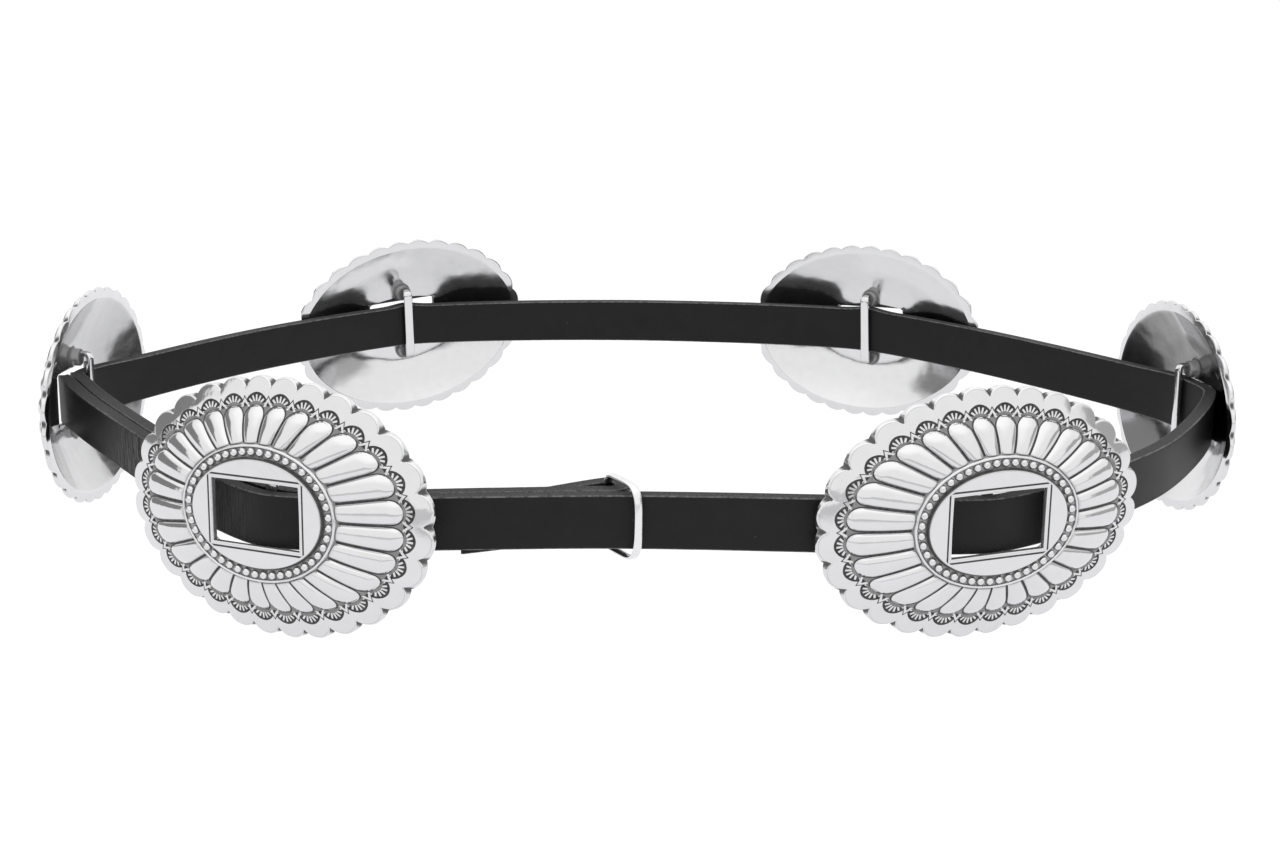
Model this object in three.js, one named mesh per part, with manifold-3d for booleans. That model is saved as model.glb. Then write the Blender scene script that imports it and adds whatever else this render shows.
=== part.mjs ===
// Western belt: six fluted oval conchos on one black leather strap, closed by a keeper ring.
// Millimetres, +Z up, front towards -Y. The belt stands on the lobes of its conchos.
import * as THREE from 'three';
import Module from 'manifold-3d';

const wasm = await Module();
wasm.setup();

// Concho. A is half its length, B half its height, both over the tips of the lobes.
const LOBES = 28;
const HALF_LENGTH = 42.0;
const HALF_HEIGHT = 30.1;
const ANGLE_SHIFT = 0.105; // keeps the lobes of one width round the oval
const NOTCH_DEPTH = 2.4;
const BACK_NOTCH_DEPTH = 1.2; // the notches are cut slanting, deeper at the front
const NOTCH_RISE = 0.9; // the dome is this much higher at a notch than at a lobe tip
const LOBE_SHOULDER = 0.1;
const METAL = 1.1; // thickness at the rim, whose back is flat
const PLATEAU_TOP = 7.75; // height of the flat centre above the lobe tips
const PLATEAU_BACK = 6.45;
const WINDOW_HALF_LENGTH = 11.9;
const WINDOW_HALF_HEIGHT = 7.25;
const BAR_HALF_LENGTH = 12.4;
const BAR_WIDTH = 2.75;
const BAR_THICKNESS = 1.4;
const BAR_FACE = 2.1; // height of the side of the bar that the strap passes
const POST_DIAMETER = 4.4;
const POST_OFFSET = 10.3;
const POST_TOP = 7.1; // inside the plateau, so post and plateau are one solid

// Strap.
const STRAP_HEIGHT = 13.4; // at the middle of the belt
const WIDER_RIGHT = 0.005; // the strip widens by this much for each mm to the right
const WIDER_BACK = 0.0065; // and to the back
const STRAP_THICKNESS = 3.5;
const STRAP_SEAT = 4.35; // the strap's middle at a bar, above the lobe tips of that concho
const STRAP_REST = 7.75; // at a bar the strap's lower edge is this far below the middle
const STRAP_LEVEL = 30.0; // the strap's middle above the floor, between conchos
const LAYER_GAP = 3.8; // middle to middle of two layers that lie together
const BAR_GAP = 6.0; // middle to middle where a bar lies between the two layers
const TAIL_LENGTH = 33.3;
const TAIL_DROOP = 4.6;

// Keeper ring, measured along the strap (t) and outward from its outer layer (n).
const RING_BACK = { t: -5.3, n: -7.1 };
const RING_FRONT = { t: 1.4, n: 3.8 };
const RING_HEIGHT = 17.2; // middle to middle of the band
const RING_SQUARENESS = { front: 3.6, back: 8.0 }; // 2 would be an ellipse
const RING_WIDTH = 2.1;
const RING_THICKNESS = 1.1;
const FOLD_RADIUS = 3.3;

// Where each concho stands: place on the floor in mm, then its turn, lean and roll in degrees.
const CONCHOS = [
  { name: 'concho_front_left', x: -82.5, y: -103.5, yaw: -25.5, tilt: 4.7, roll: 2.9 },
  { name: 'concho_front_right', x: 77.7, y: -97.0, yaw: 19.3, tilt: 1.0, roll: 1.0 },
  { name: 'concho_right', x: 154.0, y: 7.1, yaw: 94.9, tilt: 1.1, roll: -3.0 },
  { name: 'concho_back_right', x: 75.9, y: 100.3, yaw: 149.4, tilt: 0.8, roll: -3.7 },
  { name: 'concho_back_left', x: -80.7, y: 93.6, yaw: 213.1, tilt: 4.1, roll: -3.4 },
  { name: 'concho_left', x: -155.4, y: -6.8, yaw: 269.6, tilt: 0.6, roll: 3.0 },
];

// How far the strap bows outward halfway between two conchos, and how long it holds its course
// on leaving the first bar, at the middle and on reaching the second bar.
const STRETCHES = [
  { from: 0, to: 1, bow: 2.5, leave: 13, middle: 30, reach: 11 },
  { from: 1, to: 2, bow: 16.0, leave: 12, middle: 20, reach: 12 },
  { from: 2, to: 3, bow: 6.0, leave: 12, middle: 24, reach: 12 },
  { from: 3, to: 4, bow: 10.0, leave: 13, middle: 28, reach: 13 },
  { from: 4, to: 5, bow: 6.3, leave: 10, middle: 24, reach: 12 },
];
const LAST_STRETCH = { from: 5, to: 0, bow: 6.9, leave: 8, middle: 24, reach: 11 };
const HIDDEN_END = { u: 13.0, w: 4.0, turn: 35.0 }; // the strap's start, inside the left concho
const STEPS = 7;

const TURN = 2 * Math.PI;
const rad = THREE.MathUtils.degToRad;
const UP = new THREE.Vector3(0, 0, 1);

function ringPoint(phi, a, b, w) {
  const t = phi + ANGLE_SHIFT * Math.sin(2 * phi);
  return { phi, p: new THREE.Vector3(a * Math.cos(t), b * Math.sin(t), w) };
}

// A ring of points that lies on an oval; the height can differ at grooves and crests.
function ovalRing(count, a, b, w, crest = 0) {
  const ring = [];
  for (let i = 0; i < count; i += 1) {
    const onGroove = (i * LOBES) % count === 0;
    ring.push(ringPoint((TURN * i) / count, a, b, onGroove ? w : w + crest));
  }
  return ring;
}

// The lobed outline: a notch, then the two shoulders of a lobe.
function lobedRing(w, depth, rise) {
  const ring = [];
  for (let i = 0; i < 3 * LOBES; i += 1) {
    const notch = i % 3 === 0;
    const inset = notch ? depth : LOBE_SHOULDER;
    const height = notch ? w + rise : w;
    const phi = (TURN * i) / (3 * LOBES);
    ring.push(ringPoint(phi, HALF_LENGTH - inset, HALF_HEIGHT - inset, height));
  }
  return ring;
}

function windowRing(w) {
  const ring = [];
  const corners = [[1, 0], [1, 1], [0.5, 1], [0, 1], [-0.5, 1], [-1, 1], [-1, 0], [-1, -1]];
  corners.push([-0.5, -1], [0, -1], [0.5, -1], [1, -1]);
  for (const [x, y] of corners) {
    const p = new THREE.Vector3(x * WINDOW_HALF_LENGTH, y * WINDOW_HALF_HEIGHT, w);
    const phi = (Math.atan2(p.y / HALF_HEIGHT, p.x / HALF_LENGTH) + TURN) % TURN;
    ring.push({ phi, p });
  }
  return ring;
}

// Closed body from a list of rings, each joined to the next and the last to the first.
function bodyFromRings(rings) {
  const points = [];
  const starts = [];
  for (const ring of rings) {
    starts.push(points.length);
    points.push(...ring.map((entry) => entry.p));
  }
  const faces = [];
  rings.forEach((a, k) => {
    const next = (k + 1) % rings.length;
    const b = rings[next];
    let i = 0;
    let j = 0;
    while (i < a.length || j < b.length) {
      const stepA = i < a.length ? (i + 1 < a.length ? a[i + 1].phi : TURN) : Infinity;
      const stepB = j < b.length ? (j + 1 < b.length ? b[j + 1].phi : TURN) : Infinity;
      const ai = starts[k] + (i % a.length);
      const bj = starts[next] + (j % b.length);
      if (stepA <= stepB) {
        faces.push([ai, starts[k] + ((i + 1) % a.length), bj]);
        i += 1;
      } else {
        faces.push([ai, starts[next] + ((j + 1) % b.length), bj]);
        j += 1;
      }
    }
  });
  return { points, faces };
}

// Closed body swept through sections of one point count; a loop joins its ends, a rod caps them.
function sweep(sections, loop) {
  const size = sections[0].length;
  const points = sections.flat();
  const faces = [];
  const last = loop ? sections.length : sections.length - 1;
  for (let k = 0; k < last; k += 1) {
    const here = k * size;
    const there = ((k + 1) % sections.length) * size;
    for (let i = 0; i < size; i += 1) {
      const j = (i + 1) % size;
      faces.push([here + i, here + j, there + j]);
      faces.push([here + i, there + j, there + i]);
    }
  }
  if (!loop) {
    const end = (sections.length - 1) * size;
    for (let i = 1; i < size - 1; i += 1) {
      faces.push([0, i + 1, i]);
      faces.push([end, end + i, end + i + 1]);
    }
  }
  return { points, faces };
}

function toManifold(body) {
  const vertProperties = new Float32Array(body.points.flatMap((p) => [p.x, p.y, p.z]));
  const triVerts = new Uint32Array(body.faces.flat());
  return new wasm.Manifold(new wasm.Mesh({ numProp: 3, vertProperties, triVerts }));
}

function fromManifold(solid) {
  const mesh = solid.getMesh();
  const points = [];
  const faces = [];
  for (let i = 0; i < mesh.vertProperties.length; i += mesh.numProp) {
    points.push(new THREE.Vector3(...mesh.vertProperties.subarray(i, i + 3)));
  }
  for (let i = 0; i < mesh.triVerts.length; i += 3) {
    faces.push([...mesh.triVerts.subarray(i, i + 3)]);
  }
  return { points, faces };
}

function conchoShell() {
  const fine = 3 * LOBES;
  const front = lobedRing(0, NOTCH_DEPTH, NOTCH_RISE);
  const back = lobedRing(-METAL, BACK_NOTCH_DEPTH, 0);
  return bodyFromRings([
    front,
    ovalRing(fine, 37.7, 25.8, 1.8), // foot of the rim
    ovalRing(fine, 35.4, 23.5, 2.2), // outer ends of the petals
    ovalRing(fine, 33.5, 21.8, 2.8, 1.0), // crest of the petals, outer end
    ovalRing(fine, 23.5, 17.0, 6.1, 0.7), // crest of the petals, inner end
    ovalRing(LOBES, 21.3, 15.9, 6.3), // foot of the lip
    ovalRing(LOBES, 20.8, 15.3, 7.3), // lip
    ovalRing(LOBES, 19.2, 13.9, 7.7), // beads
    ovalRing(LOBES, 18.3, 13.0, 7.0),
    ovalRing(LOBES, 17.7, 12.4, PLATEAU_TOP),
    windowRing(PLATEAU_TOP),
    windowRing(PLATEAU_BACK),
    ovalRing(LOBES, 18.4, 13.1, PLATEAU_BACK),
    ovalRing(LOBES, 24.2, 17.0, 4.5),
    ovalRing(LOBES, 35.3, 24.5, 0.6),
    ovalRing(LOBES, 38.8, 26.9, -METAL), // edge of the bowl
    back,
  ]);
}

function post(v) {
  const sections = [BAR_FACE - 0.5 * BAR_THICKNESS, POST_TOP].map((w) => {
    const section = [];
    for (let i = 0; i < 10; i += 1) {
      const angle = (TURN * i) / 10;
      const u = 0.5 * POST_DIAMETER * Math.cos(angle);
      section.push(new THREE.Vector3(u, v + 0.5 * POST_DIAMETER * Math.sin(angle), w));
    }
    return section;
  });
  return sweep(sections, false);
}

function bar() {
  const radius = 0.5 * BAR_WIDTH;
  const sections = [BAR_FACE - BAR_THICKNESS, BAR_FACE].map((w) => {
    const section = [];
    for (let i = 0; i < 14; i += 1) {
      const angle = (Math.PI * (i % 7)) / 6 + (i < 7 ? 0 : Math.PI);
      const middle = (i < 7 ? 1 : -1) * (BAR_HALF_LENGTH - radius);
      const v = middle + radius * Math.sin(angle);
      section.push(new THREE.Vector3(radius * Math.cos(angle), v, w));
    }
    return section;
  });
  return sweep(sections, false);
}

// Directions of a concho or of a length of strap: along, up across its height, and outward.
function directions(yaw, tilt, roll) {
  const along = new THREE.Vector3(Math.cos(rad(yaw)), Math.sin(rad(yaw)), 0);
  const level = new THREE.Vector3(Math.sin(rad(yaw)), -Math.cos(rad(yaw)), 0);
  const out = level.clone().multiplyScalar(Math.cos(rad(tilt)));
  out.addScaledVector(UP, Math.sin(rad(tilt)));
  const across = UP.clone().multiplyScalar(Math.cos(rad(tilt)));
  across.addScaledVector(level, -Math.sin(rad(tilt)));
  const u = along.clone().multiplyScalar(Math.cos(rad(roll)));
  u.addScaledVector(across, Math.sin(rad(roll)));
  const v = across.clone().multiplyScalar(Math.cos(rad(roll)));
  v.addScaledVector(along, -Math.sin(rad(roll)));
  return { along, across, level, u, v, out };
}

// Stands a concho on the floor: its lowest lobe comes to height 0.
function stand(place, points) {
  const d = directions(place.yaw, place.tilt, place.roll);
  const matrix = new THREE.Matrix4().makeBasis(d.u, d.v, d.out);
  const turned = points.map((p) => p.clone().applyMatrix4(matrix));
  const low = Math.min(...turned.map((p) => p.z));
  matrix.setPosition(place.x, place.y, -low);
  return matrix;
}

function strapHeight(p) {
  return STRAP_HEIGHT + WIDER_RIGHT * p.x + WIDER_BACK * p.y;
}

// A station of the strap: where its middle is, its course in degrees and how far it leans in.
function stationAt(place, matrix, u, w) {
  const v = 0.5 * strapHeight(place) - STRAP_REST;
  const p = new THREE.Vector3(u, v, w).applyMatrix4(matrix);
  return { p, course: place.yaw, lean: place.tilt };
}

// Course b brought to within half a turn of course a.
function near(a, b) {
  return b + 360 * Math.round((a - b) / 360);
}

function halfway(a, b, bow) {
  const chord = b.p.clone().sub(a.p);
  const course = near(a.course, THREE.MathUtils.radToDeg(Math.atan2(chord.y, chord.x)));
  const p = a.p.clone().add(b.p).multiplyScalar(0.5);
  p.addScaledVector(directions(course, 0, 0).level, bow);
  p.z = STRAP_LEVEL;
  return { p, course, lean: 0 };
}

// Cubic course from one station to the next; the first station itself is left out.
function curve(a, b, leave, reach) {
  const p1 = a.p.clone().addScaledVector(directions(a.course, 0, 0).along, leave);
  const p2 = b.p.clone().addScaledVector(directions(b.course, 0, 0).along, -reach);
  const path = new THREE.CubicBezierCurve3(a.p, p1, p2, b.p);
  const stations = [];
  for (let i = 1; i <= STEPS; i += 1) {
    const t = i / STEPS;
    const tangent = path.getTangent(t);
    const course = near(a.course, THREE.MathUtils.radToDeg(Math.atan2(tangent.y, tangent.x)));
    const lean = THREE.MathUtils.lerp(a.lean, b.lean, THREE.MathUtils.smoothstep(t, 0, 1));
    stations.push({ p: path.getPoint(t), course, lean });
  }
  return stations;
}

function inward(station, distance) {
  const out = directions(station.course, station.lean, 0).out;
  return { ...station, p: station.p.clone().addScaledVector(out, -distance) };
}

// The strap's middle line from its hidden start to the tip of its tail.
function strapStations(matrices) {
  const bars = CONCHOS.map((place, k) => stationAt(place, matrices[k], 0, STRAP_SEAT));
  const left = LAST_STRETCH.from;
  const start = stationAt(CONCHOS[left], matrices[left], HIDDEN_END.u, HIDDEN_END.w);
  start.course += HIDDEN_END.turn;
  const sideMiddle = halfway(bars[left], bars[0], LAST_STRETCH.bow);
  const keeper = halfway(bars[0], bars[1], STRETCHES[0].bow);
  const first = { ...bars[0], course: near(sideMiddle.course, bars[0].course) };
  const outer = [
    start,
    ...curve(start, sideMiddle, LAST_STRETCH.middle, LAST_STRETCH.middle),
    ...curve(sideMiddle, first, LAST_STRETCH.middle, LAST_STRETCH.reach),
  ];
  const atBar = outer.length - 1;
  outer.push(...curve(first, keeper, STRETCHES[0].leave, STRETCHES[0].middle));
  const stations = [...outer, ...curve(keeper, bars[1], STRETCHES[0].middle, STRETCHES[0].reach)];
  for (const stretch of STRETCHES.slice(1)) {
    const a = bars[stretch.from];
    const b = bars[stretch.to];
    const middle = halfway(a, b, stretch.bow);
    stations.push(...curve(a, middle, stretch.leave, stretch.middle));
    stations.push(...curve(middle, b, stretch.middle, stretch.reach));
  }
  // The second layer lies inside the first, as far as the keeper ring.
  const inner = outer.map((station, k) => {
    const share = Math.max(0, 1 - Math.abs(k - atBar) / 3);
    return inward(station, THREE.MathUtils.lerp(LAYER_GAP, BAR_GAP, share));
  });
  stations.push(...curve(bars[left], inner[0], LAST_STRETCH.leave, 3), ...inner.slice(1, -1));
  const fold = ringStation(keeper, RING_BACK);
  for (let i = 0; i <= 8; i += 1) {
    const turn = (180 * i) / 8;
    const course = keeper.course + turn;
    const p = fold.p.clone().addScaledVector(directions(course, 0, 0).level, FOLD_RADIUS);
    stations.push({ p, course, lean: 0 });
  }
  // The tail runs back inside the second layer and droops towards its tip.
  const tail = directions(keeper.course, 0, 0);
  for (let i = 1; i <= 5; i += 1) {
    const t = i / 5;
    const p = fold.p.clone().addScaledVector(tail.along, -TAIL_LENGTH * t);
    const ease = THREE.MathUtils.smoothstep(t, 0, 0.7);
    p.addScaledVector(tail.level, -FOLD_RADIUS + (2 * FOLD_RADIUS - LAYER_GAP - 0.2) * ease);
    p.z -= TAIL_DROOP * t;
    stations.push({ p, course: keeper.course + 180, lean: 0 });
  }
  return { stations, keeper };
}

// A point given along and outward from the strap where the keeper ring sits.
function ringStation(keeper, { t, n }) {
  const d = directions(keeper.course, 0, 0);
  const p = keeper.p.clone().addScaledVector(d.along, t).addScaledVector(d.level, n);
  return { p };
}

function strapBody(stations) {
  const sections = stations.map((station) => {
    const d = directions(station.course, station.lean, 0);
    const corner = (side, height) => station.p.clone()
      .addScaledVector(d.out, 0.5 * side * STRAP_THICKNESS)
      .addScaledVector(d.across, 0.5 * height * strapHeight(station.p));
    return [corner(1, -1), corner(-1, -1), corner(-1, 1), corner(1, 1)];
  });
  return sweep(sections, false);
}

function keeperBody(keeper) {
  const back = ringStation(keeper, RING_BACK).p;
  const front = ringStation(keeper, RING_FRONT).p;
  const depth = front.clone().sub(back);
  const half = { x: 0.5 * depth.length(), z: 0.5 * RING_HEIGHT };
  const middle = back.clone().add(front).multiplyScalar(0.5);
  const forward = depth.normalize();
  const side = new THREE.Vector3().crossVectors(forward, UP);
  const profile = [[-1, -1], [1, -1], [1, 0.5], [0.5, 1], [-0.5, 1], [-1, 0.5]];
  const sections = [];
  for (let i = 0; i < 28; i += 1) {
    const angle = (TURN * (i + 0.5)) / 28;
    const c = Math.cos(angle);
    const s = Math.sin(angle);
    const power = c > 0 ? RING_SQUARENESS.front : RING_SQUARENESS.back;
    const x = Math.sign(c) * Math.abs(c) ** (2 / power);
    const z = Math.sign(s) * Math.abs(s) ** (2 / power);
    const outward = forward.clone().multiplyScalar(Math.sign(c) * Math.abs(x) ** (power - 1) / half.x);
    outward.addScaledVector(UP, Math.sign(s) * Math.abs(z) ** (power - 1) / half.z).normalize();
    const centre = middle.clone().addScaledVector(forward, x * half.x).addScaledVector(UP, z * half.z);
    sections.push(profile.map(([px, py]) => centre.clone()
      .addScaledVector(side, 0.5 * px * RING_WIDTH)
      .addScaledVector(outward, 0.5 * py * RING_THICKNESS)));
  }
  return sweep(sections, true);
}

function addMesh(group, name, body, material, matrix) {
  const geometry = new THREE.BufferGeometry();
  const positions = body.points.flatMap((p) => [p.x, p.y, p.z]);
  geometry.setAttribute('position', new THREE.Float32BufferAttribute(positions, 3));
  geometry.setIndex(body.faces.flat());
  const mesh = new THREE.Mesh(geometry, material);
  mesh.name = name;
  if (matrix) mesh.applyMatrix4(matrix);
  group.add(mesh);
}

function silver() {
  return new THREE.MeshStandardMaterial({ color: 0xd9dadc, roughness: 0.22, metalness: 1.0 });
}

function leather() {
  return new THREE.MeshStandardMaterial({ color: 0x1b1b1c, roughness: 0.55, metalness: 0.0 });
}

const group = new THREE.Group();
group.name = 'western_belt';

const parts = [conchoShell(), post(POST_OFFSET), post(-POST_OFFSET), bar()];
const concho = fromManifold(parts.map(toManifold).reduce((a, b) => a.add(b)));
const matrices = CONCHOS.map((place) => stand(place, concho.points));
CONCHOS.forEach((place, k) => addMesh(group, place.name, concho, silver(), matrices[k]));

const { stations, keeper } = strapStations(matrices);
addMesh(group, 'strap', strapBody(stations), leather());
addMesh(group, 'keeper_ring', keeperBody(keeper), silver());

export default group;
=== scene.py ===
"""Western belt: six fluted silver conchos on a black leather strap with a keeper ring.

Lengths in the tables are millimetres; everything handed to Blender is in metres.
"""
import math

import bpy
import numpy as np
from mathutils import Matrix, Vector, noise


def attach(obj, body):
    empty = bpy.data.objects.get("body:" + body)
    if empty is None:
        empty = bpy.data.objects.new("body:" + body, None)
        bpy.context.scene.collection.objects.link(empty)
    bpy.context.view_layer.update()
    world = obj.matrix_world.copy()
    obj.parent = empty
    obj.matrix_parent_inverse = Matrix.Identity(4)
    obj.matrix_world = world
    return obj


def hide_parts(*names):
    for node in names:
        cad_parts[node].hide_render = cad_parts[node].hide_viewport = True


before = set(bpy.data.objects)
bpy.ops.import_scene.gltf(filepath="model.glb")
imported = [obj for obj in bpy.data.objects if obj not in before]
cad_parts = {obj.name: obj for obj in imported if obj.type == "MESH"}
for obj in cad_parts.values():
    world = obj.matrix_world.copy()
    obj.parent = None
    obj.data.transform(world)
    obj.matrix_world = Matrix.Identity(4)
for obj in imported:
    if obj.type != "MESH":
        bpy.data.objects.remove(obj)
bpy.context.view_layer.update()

MM = 0.001

# Concho. A pair holds the half axes of an oval; heights count from the front of the rim's edge.
LOBES = 28
HALF_LENGTH = 42.0
HALF_HEIGHT = 30.1
ANGLE_SHIFT = 0.105  # radians by which the lobes are moved on, to be equally wide
NOTCH_DEPTH = 2.45
BACK_NOTCH_DEPTH = 1.2
LOBE_END = 4.0
METAL = 1.1
PLATEAU_TOP = 7.75
PLATEAU_BACK = 6.45
WINDOW_U = 11.9
WINDOW_V = 7.25
CENTRE_EDGE = (17.3, 11.95)
PETAL_OUTER = (35.5, 23.6)
PETAL_INNER = (21.3, 15.9)
PETAL_CORNER = 2.45
PETAL_FOOT = 2.2
GROOVE_HALF = 0.29
BOWL_EDGE = (39.2, 27.3)
BOWL_FLOOR = (15.5, 10.3)
BEADS = 44
BEAD_RADIUS = 1.03
BEAD_OVAL = (19.3, 13.93)
BEAD_SEAT = 6.66
BAR_HALF_LENGTH = 12.1
BAR_WIDTH = 3.1
BAR_THICKNESS = 1.4
BAR_FACE = 2.1
COLLAR_RADIUS = 2.45
COLLAR_OFFSET = 10.3

# Stamped fan on a lobe: its centre as an inset from the outline, then radii round that centre.
FAN_CENTRE = 6.88
FAN_RADIUS = 3.2
FAN_TURN = 24.5  # degrees from one tick to the next
TICK_HALF = 0.18
TICK_START = 1.26
TICK_END = 2.62
# Chevron between two fans: how steeply its legs run, and the insets of the white one's edges.
CHEVRON_SLOPE = 1.6
CHEVRON = (4.72, 5.72)
# Engraved frame: distances from the window's edge to a broad and a fine line.
FRAME_LINE = (0.80, 1.24)
FRAME_HAIR = (0.34, 0.42)

# Share of a lobe's width from its middle line (0) to the notch (0.5).
HALF_LOBE = [0.0, 0.06, 0.12, 0.18, 0.24, 0.295, 0.345, 0.39, 0.425, 0.455, 0.48, 0.5]

# Height of the rim's front at some insets from its outline.
RIM_Q = [0.0, 0.5, 1.2, 2.4, 4.0, 5.8, 6.6, 9.0]
RIM_W = [0.0, 0.30, 0.60, 1.05, 1.60, 2.02, 2.2, 2.75]

# From the foot of the lip to the edge of the flat centre.
# Columns: half length, half height, height, darkness from 0 to 1: painted shade at the foot of the lip,
# patina in the bead channel and on the wall of the flat centre.
LIP_ROWS = [
    (21.22, 15.82, 6.32, 0.75), (21.10, 15.70, 6.66, 0.40), (21.00, 15.60, 7.00, 0.05),
    (20.88, 15.48, 7.22, 0.0), (20.70, 15.30, 7.32, 0.0), (20.52, 15.12, 7.26, 0.0),
    (20.42, 15.02, 7.06, 0.1), (20.36, 14.96, 6.80, 0.4), (20.30, 14.90, 6.62, 0.5),
    (19.8, 14.4, 6.56, 0.45), (19.2, 13.8, 6.54, 0.5), (18.6, 13.2, 6.56, 0.5),
    (18.2, 12.8, 6.58, 0.72), (17.95, 12.55, 6.66, 0.95), (17.85, 12.45, 7.15, 0.95),
    (17.75, 12.35, 7.56, 0.9), (17.64, 12.25, 7.71, 0.3), (17.5, 12.12, 7.75, 0.0),
    (*CENTRE_EDGE, PLATEAU_TOP, 0.0),
]

# The bowl behind, from the edge of the flat rim to its floor. Columns: half height, height.
BOWL_ROWS = [
    (BOWL_EDGE[1], -METAL), (27.18, -1.07), (27.02, -0.95),
    (26.7, -0.72), (26.0, -0.22), (25.0, 0.46),
    (23.8, 1.25), (22.4, 2.12), (21.0, 2.93), (19.6, 3.70), (18.2, 4.42), (17.0, 4.98),
    (16.0, 5.40), (15.0, 5.76), (14.2, 6.00), (13.4, 6.19), (12.5, 6.33), (11.5, 6.42),
    (BOWL_FLOOR[1], PLATEAU_BACK),
]

# Points in a ring, and the darkness of each ring of a piece from its first to its last: the beads are
# darker at their foot, and the collars carry painted shade and painted reflection, darkest at the end
# face and the foot.
PIECE_SHADES = dict(
    bead=(16, (0.9, 0.6, 0.1, 0.0)),
    collar=(32, (0.9, 0.9, 0.8, 0.5, 0.4, 0.7, 0.8)),
    staple=(20, (0.0,)),
)

# Strap. It is a little wider towards the right and the back.
STRAP_HEIGHT = 13.4
WIDER_RIGHT = 0.005  # mm of height for each mm to the right
WIDER_BACK = 0.0065  # mm of height for each mm to the back
STRAP_THICKNESS = 3.5
STRAP_SEAT = 4.35  # height of its middle line in a concho, at the bar
STRAP_REST = 7.75  # depth of its lower edge below a concho's middle
STRAP_LEVEL = 30.0  # height of its middle over the floor, halfway between two conchos
LAYER_GAP = 3.8  # from the middle of one layer to the middle of the next
BAR_GAP = 6.0  # the same where a bar lies between the layers
RING_CLEARANCE = 2.2  # how far before the ring the second layer leaves the first, in coarse steps
TAIL_LENGTH = 33.3
TAIL_DROOP = 4.6
FOLD_RADIUS = 3.3

# Keeper ring: places along the strap and outward from its outer layer.
RING_BACK = (-5.3, -7.1)
RING_FRONT = (1.4, 3.8)
RING_HEIGHT = 17.2
RING_SQUARENESS = (3.6, 8.0)
RING_WIDTH = 2.1
RING_THICKNESS = 1.1

CONCHOS = [
    dict(name="concho_front_left", x=-82.5, y=-103.5, yaw=-25.5, tilt=4.7, roll=2.9),
    dict(name="concho_front_right", x=77.7, y=-97.0, yaw=19.3, tilt=1.0, roll=1.0),
    dict(name="concho_right", x=154.0, y=7.1, yaw=94.9, tilt=1.1, roll=-3.0),
    dict(name="concho_back_right", x=75.9, y=100.3, yaw=149.4, tilt=0.8, roll=-3.7),
    dict(name="concho_back_left", x=-80.7, y=93.6, yaw=213.1, tilt=4.1, roll=-3.4),
    dict(name="concho_left", x=-155.4, y=-6.8, yaw=269.6, tilt=0.6, roll=3.0),
]

# Painted dark reflections in the bowls: all over, in the upper half, and the side of its bright sweep.
PAINTED_REFLECTIONS = dict(
    concho_right=dict(all=0.05, upper=0.85, near=1),
    concho_left=dict(all=0.22, upper=0.10, near=-1),
    concho_back_right=dict(all=0.02, upper=0.10, near=1),
    concho_back_left=dict(all=0.02, upper=0.12, near=-1),
)
NO_PAINTED_REFLECTIONS = dict(all=0.0, upper=0.0, near=1)

# Stretches of the strap from concho a to concho b: how far the middle bows outward, and the
# lengths of its handles where it leaves a, at the middle and where it reaches b.
STRETCHES = [
    dict(a=0, b=1, bow=2.5, leave=13, middle=30, reach=11),
    dict(a=1, b=2, bow=16.0, leave=12, middle=20, reach=12),
    dict(a=2, b=3, bow=6.0, leave=12, middle=24, reach=12),
    dict(a=3, b=4, bow=10.0, leave=13, middle=28, reach=13),
    dict(a=4, b=5, bow=6.3, leave=10, middle=24, reach=12),
]
LAST_STRETCH = dict(a=5, b=0, bow=6.9, leave=8, middle=24, reach=11)
# Where the strap starts inside the left concho: place, turn of its course and lift.
HIDDEN_END = dict(u=7.3, w=6.2, turn=35.0, lift=0.8)
# Where the strap comes in behind the right concho, close to its window.
ENTRY = dict(concho=2, u=-14.5, w=4.4, turn=22.0, reach=9.0)
# Rise of the strap's top edge where the bars squeeze it, and how far that spreads.
CROWNS = [
    dict(concho=2, rise=1.1, spread=16.0),
    dict(concho=3, rise=0.9, spread=5.0),
    dict(concho=4, rise=0.9, spread=5.0),
    dict(concho=5, rise=1.4, spread=18.0),
]
STEPS = 42  # stations in half a stretch
COARSE_STEPS = 7  # the unit in which places along the strap are counted
WORN_MIDDLE = 9.5  # middle of the creased stretch, in that unit
WORN_HALF = 5.0

CAMERA_PLACE = (-1.1, -445.4, 146.4)
CAMERA_PITCH = 15.62
CAMERA_ROLL = 1.21
CAMERA_LENS = 45.0

# Greys of the silver: polished in two shades, painted dark reflection, sooty, matte in two shades,
# scratched.
SILVER = dict(dull=0.655, bright=0.71, painted_reflection=0.09, soot=0.014, matte=0.07, pale=0.34, hair=0.3)
RING_SILVER = dict(dull=0.72, bright=0.80, shade=0.06)
# Greys of the leather: its skin in two shades, creased, cut, with lint, raw edge, rubbed corner.
LEATHER = dict(skin=0.003, worn=0.009, crease=0.085, cut=0.003, lint=0.10,
               core=0.007, fibre=0.11, rubbed=0.14)

# Floor: its grey, the glow far off and near the camera, and where one runs over into the other.
FLOOR_HALF = 150.0
FLOOR_GREY = 0.16
FLOOR_GLOW = 0.90
NEAR_GLOW = 0.55
GLOW_EDGE = (-0.205, -0.37)

# The white room round the belt: brightness overhead and low down, and its darker sides.
WORLD_TOP = 1.40
WORLD_LOW = 1.14
SIDE_LEFT = 0.28
SIDE_RIGHT = 0.52


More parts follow.
